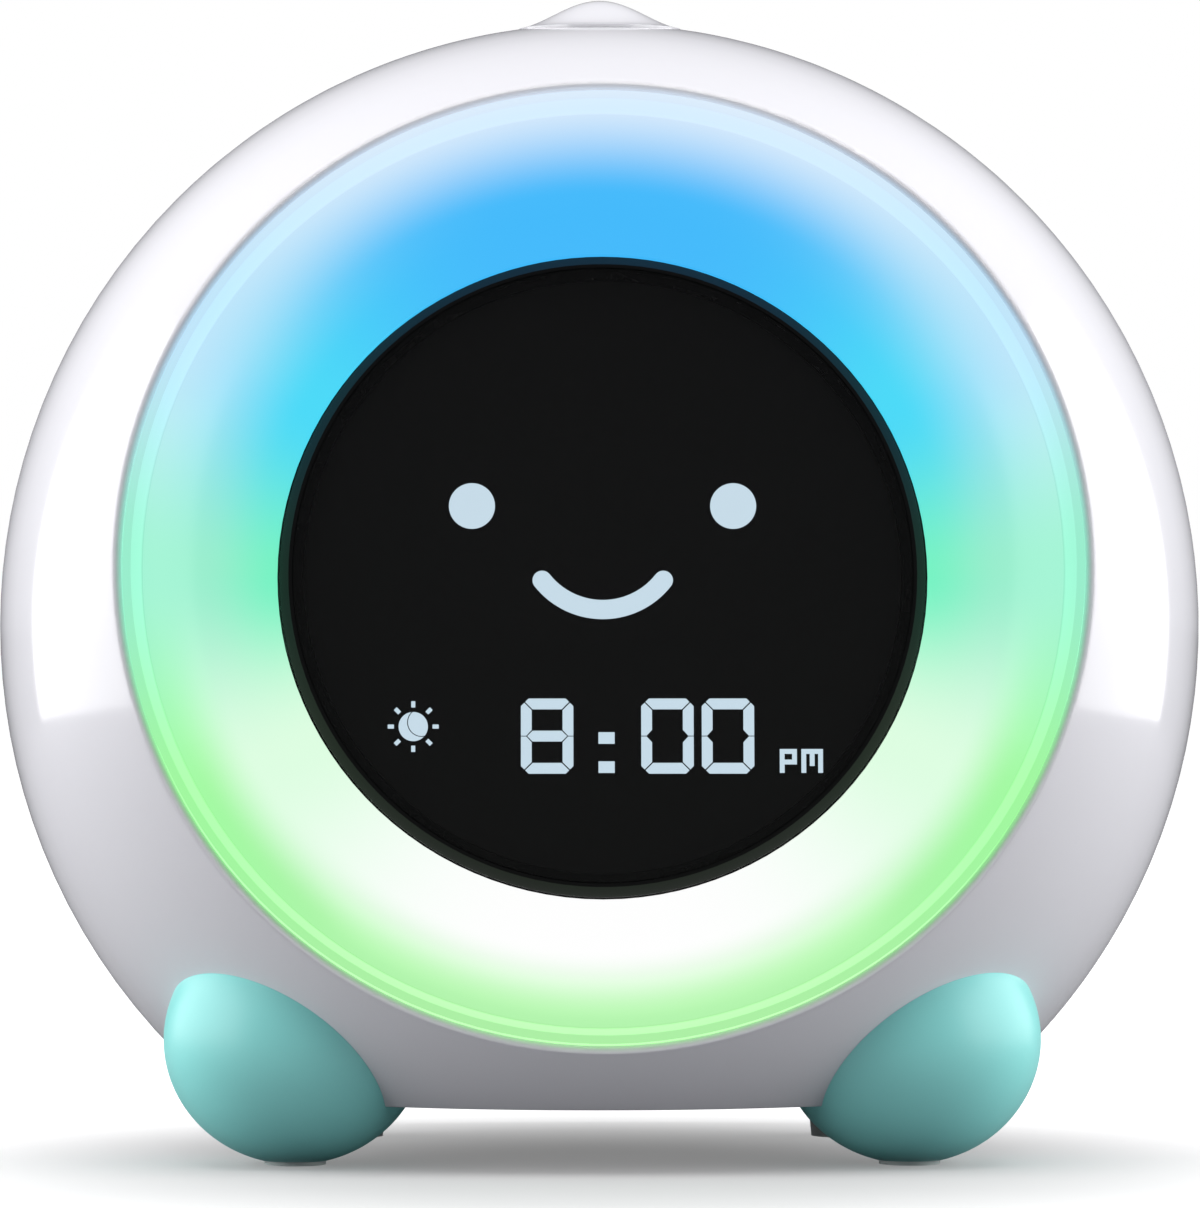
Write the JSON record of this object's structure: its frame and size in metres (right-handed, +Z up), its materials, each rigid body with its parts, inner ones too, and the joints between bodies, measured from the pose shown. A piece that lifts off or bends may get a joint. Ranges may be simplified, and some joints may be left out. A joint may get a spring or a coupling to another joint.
{
  "type": "kids alarm clock with night light",
  "caption": "Round white bedside alarm clock on two soft feet, with a glowing bowl round a dark display and a push button on top.",
  "frame": {"origin": "on the table, under the middle of the clock", "axes": "+Z up, the display faces -Y, +X to the right seen from the front"},
  "size_m": [0.16, 0.0984, 0.1534],
  "materials": {
    "white_gloss": "glossy white moulded plastic",
    "button_white": "glossy white cap",
    "bowl_glow": "translucent diffuser lit from behind",
    "bezel_black": "glossy black",
    "lens_smoke": "smoked clear lens",
    "lcd_black": "dark display layer",
    "lit_white": "lit segments",
    "guide_clear": "frosted light guide",
    "board_green": "solder-masked board",
    "tray_white": "white reflector plastic",
    "lamp_cream": "lamp package",
    "chip_black": "moulded package",
    "can_metal": "sleeved can",
    "plug_cream": "plug housing",
    "mint_satin": "satin mint plastic",
    "pad_clear": "soft pad",
    "rear_foot_rubber": "soft grey rubber",
    "screw_steel": "zinc-plated steel",
    "spring_steel": "spring wire",
    "switch_black": "switch body",
    "cover_white": "fine satin white",
    "key_mint": "satin mint key",
    "speaker_black": "pressed frame",
    "magnet_steel": "magnet cup",
    "cone_paper": "paper cone",
    "bay_grey": "white inner bay",
    "cell_wrap": "plain cell sleeve",
    "contact_metal": "plated contact",
    "knob_mint": "satin mint knob",
    "control_metal": "slide control case",
    "socket_metal": "socket shell"
  },
  "bodies": {
    "housing": {"front_shell": "white_gloss", "rear_shell": "white_gloss", "housing_screws": "screw_steel", "diffuser_bowl": "bowl_glow", "display_bezel": "bezel_black", "display_lens": "lens_smoke", "lcd_panel": "lcd_black", "light_guide": "guide_clear", "display_board": "board_green", "time_digits": "lit_white", "sun_icon": "lit_white", "smile_segments": "lit_white", "light_tray": "tray_white", "tray_screws": "screw_steel", "display_screws": "screw_steel", "lamp_board": "tray_white", "ring_lamps": "lamp_cream", "main_board": "board_green", "board_screws": "screw_steel", "board_chips": "chip_black", "board_capacitors": "can_metal", "board_plugs": "plug_cream", "left_foot": "mint_satin", "right_foot": "mint_satin", "foot_pads": "pad_clear", "foot_screws": "screw_steel", "rear_feet": "rear_foot_rubber", "button_collar": "tray_white", "button_board": "board_green", "button_switch": "switch_black", "button_screws": "screw_steel", "button_spring": "spring_steel", "rear_cover": "cover_white", "cover_screws": "screw_steel", "key_board": "board_green", "key_switches": "switch_black", "key_board_screws": "screw_steel", "speaker_frame": "speaker_black", "speaker_magnet": "magnet_steel", "speaker_cone": "cone_paper", "battery_box": "bay_grey", "battery_cells": "cell_wrap", "battery_contacts": "contact_metal", "volume_control": "control_metal", "power_socket": "socket_metal", "power_board": "board_green", "power_board_screws": "screw_steel"},
    "light_button_body": {"light_button": "button_white"},
    "clock_key_body": {"clock_key": "key_mint"},
    "alarm_key_body": {"alarm_key": "key_mint"},
    "down_key_body": {"down_key": "key_mint"},
    "up_key_body": {"up_key": "key_mint"},
    "volume_knob_body": {"volume_knob": "knob_mint"},
    "battery_door_body": {"battery_door": "cover_white"}
  },
  "joints": [
    {"name": "light_press", "type": "slide", "parent": "housing", "child": "light_button_body", "axis": [0, 0, -1], "range_m": [0, 0.0015], "stiffness_N_per_m": 400, "springref_m": -0.001, "deforming": ["button_spring"]},
    {"name": "clock_key_press", "type": "slide", "parent": "housing", "child": "clock_key_body", "axis": [0, -1, 0], "range_m": [0, 0.001], "stiffness_N_per_m": 500, "springref_m": -0.0005},
    {"name": "alarm_key_press", "type": "slide", "parent": "housing", "child": "alarm_key_body", "axis": [0, -1, 0], "range_m": [0, 0.001], "stiffness_N_per_m": 500, "springref_m": -0.0005},
    {"name": "down_key_press", "type": "slide", "parent": "housing", "child": "down_key_body", "axis": [0, -1, 0], "range_m": [0, 0.001], "stiffness_N_per_m": 500, "springref_m": -0.0005},
    {"name": "up_key_press", "type": "slide", "parent": "housing", "child": "up_key_body", "axis": [0, -1, 0], "range_m": [0, 0.001], "stiffness_N_per_m": 500, "springref_m": -0.0005},
    {"name": "volume_slide", "type": "slide", "parent": "housing", "child": "volume_knob_body", "axis": [0, 0, 1], "range_m": [-0.0045, 0.0045]},
    {"name": "battery_door_hinge", "type": "hinge", "parent": "housing", "child": "battery_door_body", "pos_m": [0, 0.0478, 0.03115], "axis": [-1, 0, 0], "range_deg": [0, 95]}
  ]
}
